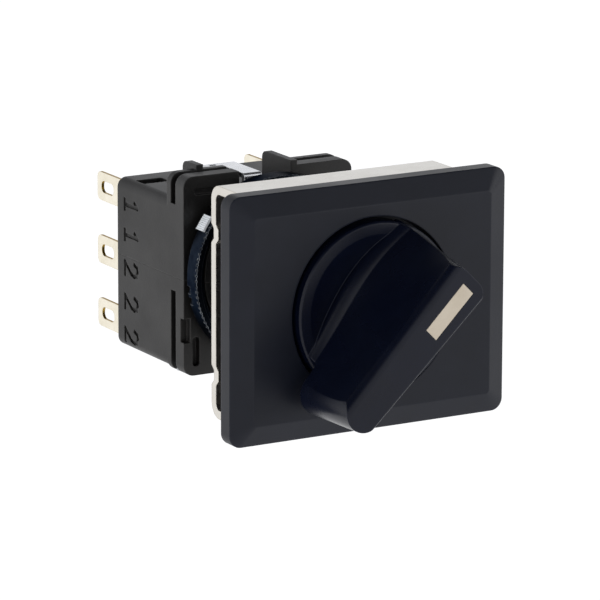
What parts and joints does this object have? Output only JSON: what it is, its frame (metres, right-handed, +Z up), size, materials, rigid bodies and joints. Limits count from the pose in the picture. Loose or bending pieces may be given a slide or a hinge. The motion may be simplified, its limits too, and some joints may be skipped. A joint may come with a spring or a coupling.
{
  "type": "rotary isolator switch",
  "caption": "Panel-mounted rotary isolator switch: rectangular bezel, pointer knob, clamping bracket, lever locking ring and rear contact block with solder tabs.",
  "frame": {"origin": "where the shaft axis meets the panel's front face, at the centre of the bezel's rear face", "axes": "+Y along the shaft from the knob to the terminals, +Z up, +X to the right seen from the front"},
  "size_m": [0.05, 0.0831, 0.04],
  "materials": {
    "bezel": "fine-grained black moulded thermoplastic",
    "gasket": "matt nitrile rubber",
    "plated_steel": "bright nickel-plated pressed steel",
    "blue_zinc": "dark blue zinc-plated steel with bright worn edges",
    "pad": "pale grey moulded plastic",
    "knob": "satin black moulded thermoplastic",
    "marker": "warm grey inlaid plastic",
    "housing": "matt black glass-filled phenolic",
    "inner_plastic": "natural acetal moulding",
    "steel": "turned steel",
    "spring": "drawn spring steel",
    "tinned_brass": "tin-plated brass with brass showing at the stamped edges",
    "silver": "silver alloy contact"
  },
  "bodies": {
    "switch_body": {"front_bezel": "bezel", "panel_gasket": "gasket", "shaft_seal": "gasket", "mounting_bracket": "plated_steel", "bracket_nut": "plated_steel", "detent_springs": "spring", "upper_housing": "housing", "lower_housing": "housing", "housing_screws": "steel", "fixed_contacts": "silver", "terminal_base": "housing", "terminal_left_upper": "tinned_brass", "terminal_left_middle": "tinned_brass", "terminal_left_lower": "tinned_brass", "terminal_right_upper": "tinned_brass", "terminal_right_middle": "tinned_brass", "terminal_right_lower": "tinned_brass"},
    "rotor": {"knob": "knob", "marker_inlay": "marker", "spindle": "steel", "thrust_washer": "steel", "retaining_clip": "spring", "index_wheel": "inner_plastic", "block_shaft": "inner_plastic", "contact_carrier": "inner_plastic", "bridge_left": "tinned_brass", "bridge_right": "tinned_brass", "contact_spring_left": "spring", "contact_spring_right": "spring"},
    "lock_ring": {"locking_ring": "blue_zinc", "thumb_pad": "pad", "locking_lever": "plated_steel"}
  },
  "joints": [
    {"name": "knob_turn", "type": "hinge", "parent": "switch_body", "child": "rotor", "pos_m": [0, 0, 0], "axis": [0, -1, 0], "range_deg": [0, 90], "deforming": ["detent_springs"]},
    {"name": "lock_ring_turn", "type": "hinge", "parent": "switch_body", "child": "lock_ring", "pos_m": [0, 0.0263, 0], "axis": [0, 1, 0], "range_deg": [0, 20]}
  ]
}
